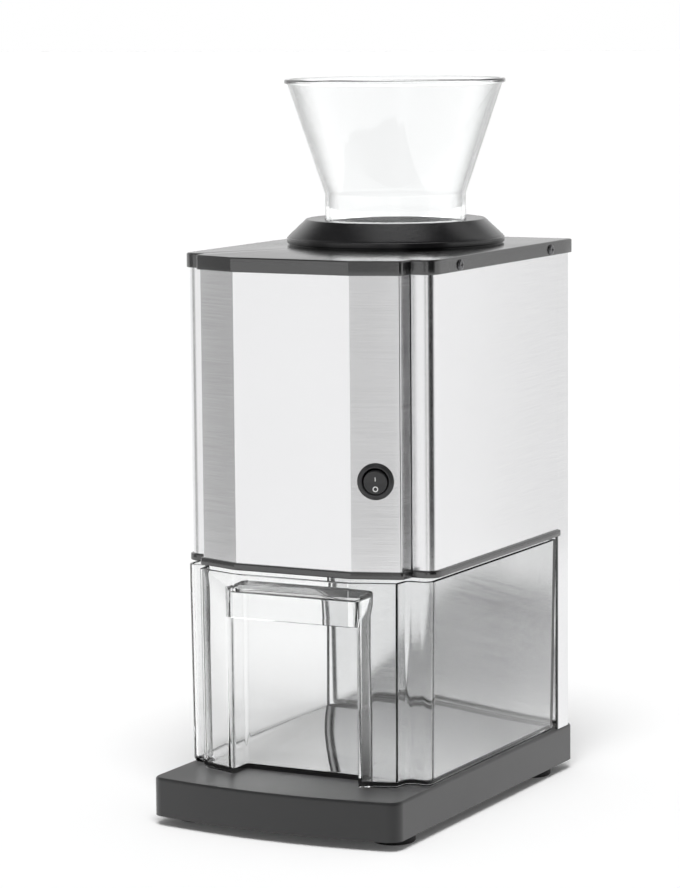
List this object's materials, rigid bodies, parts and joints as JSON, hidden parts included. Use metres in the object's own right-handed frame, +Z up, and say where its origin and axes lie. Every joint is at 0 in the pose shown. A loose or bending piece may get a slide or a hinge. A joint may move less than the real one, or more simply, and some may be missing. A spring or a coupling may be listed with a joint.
{
  "type": "electric ice crusher",
  "caption": "Countertop ice crusher: motor head on a rear column, clear feed funnel on top, rocker switch on a front facet, and a clear pull-out ice drawer on a base.",
  "frame": {"origin": "on the table, under the centre of the bounding box", "axes": "+Z up, +X to the right of the front, +Y to the back"},
  "size_m": [0.1846, 0.2784, 0.475],
  "materials": {
    "dark_plastic": "satin moulded",
    "collar_plastic": "semi-gloss moulded",
    "steel_panel": "brushed",
    "clear_plastic": "clear polished",
    "rubber": "matte",
    "fastener_steel": "plated",
    "cast_aluminium": "cast",
    "blade_steel": "ground",
    "gear_steel": "machined",
    "bearing_bronze": "sintered",
    "motor_iron": "laminated",
    "black_nylon": "moulded",
    "switch_plastic": "gloss moulded"
  },
  "bodies": {
    "machine": {"base_plate": "dark_plastic", "base_cover": "black_nylon", "base_screws": "fastener_steel", "foot_front_left": "rubber", "foot_front_right": "rubber", "foot_rear_left": "rubber", "foot_rear_right": "rubber", "column_web": "steel_panel", "column_rail_left": "steel_panel", "column_rail_right": "steel_panel", "rear_panel": "steel_panel", "rear_panel_screws": "fastener_steel", "column_screws": "fastener_steel", "housing_bolts": "fastener_steel", "cord_gland": "black_nylon", "bottom_frame": "dark_plastic", "front_panel": "steel_panel", "side_panel_left": "steel_panel", "side_panel_right": "steel_panel", "top_cover": "dark_plastic", "lid_screws": "fastener_steel", "hopper_collar": "collar_plastic", "collar_screws": "fastener_steel", "crusher_housing": "cast_aluminium", "fixed_comb": "blade_steel", "comb_screws": "fastener_steel", "flange_screws": "fastener_steel", "front_bearing": "bearing_bronze", "rear_bearing": "bearing_bronze", "rear_gear_plate": "fastener_steel", "motor_plate": "fastener_steel", "gearbox_standoffs": "fastener_steel", "gearbox_bolts": "fastener_steel", "motor_can": "motor_iron", "motor_end_cap": "cast_aluminium", "motor_stator": "motor_iron", "switch_housing": "switch_plastic", "terminal_block": "black_nylon", "run_capacitor": "black_nylon"},
    "drawer": {"drawer": "clear_plastic"},
    "funnel": {"hopper_funnel": "clear_plastic"},
    "rocker": {"switch_rocker": "switch_plastic"},
    "crusher": {"crusher_shaft": "gear_steel", "crusher_blade_1": "blade_steel", "crusher_blade_2": "blade_steel", "crusher_blade_3": "blade_steel", "crusher_blade_4": "blade_steel", "crusher_blade_5": "blade_steel", "blade_spacers": "gear_steel", "shaft_rings": "fastener_steel", "output_gear": "gear_steel"},
    "idler": {"idler_shaft": "gear_steel", "idler_gear": "gear_steel", "idler_pinion": "gear_steel"},
    "motor_rotor": {"motor_armature": "motor_iron", "motor_shaft": "gear_steel", "motor_pinion": "gear_steel", "cooling_fan": "black_nylon"}
  },
  "joints": [
    {"name": "drawer_slide", "type": "slide", "parent": "machine", "child": "drawer", "axis": [0, -1, 0], "range_m": [0, 0.24]},
    {"name": "funnel_lift", "type": "slide", "parent": "machine", "child": "funnel", "axis": [0, 0, 1], "range_m": [0, 0.12]},
    {"name": "switch_rocker_tilt", "type": "hinge", "parent": "machine", "child": "rocker", "pos_m": [0.05622, -0.09313, 0.2272], "axis": [-0.9447, -0.328, 0], "range_deg": [0, 20]},
    {"name": "crusher_spin", "type": "hinge", "parent": "machine", "child": "crusher", "pos_m": [0, 0.0488, 0.262], "axis": [0, 1, 0], "continuous": true},
    {"name": "idler_spin", "type": "hinge", "parent": "machine", "child": "idler", "pos_m": [-0.025, -0.02, 0.29942], "axis": [0, 1, 0], "continuous": true},
    {"name": "motor_spin", "type": "hinge", "parent": "machine", "child": "motor_rotor", "pos_m": [0, -0.06, 0.316], "axis": [0, 1, 0], "continuous": true}
  ],
  "couplings": [
    {"joint": "idler_spin", "follows": "crusher_spin", "ratio": -3.2857},
    {"joint": "motor_spin", "follows": "crusher_spin", "ratio": 13.143}
  ]
}
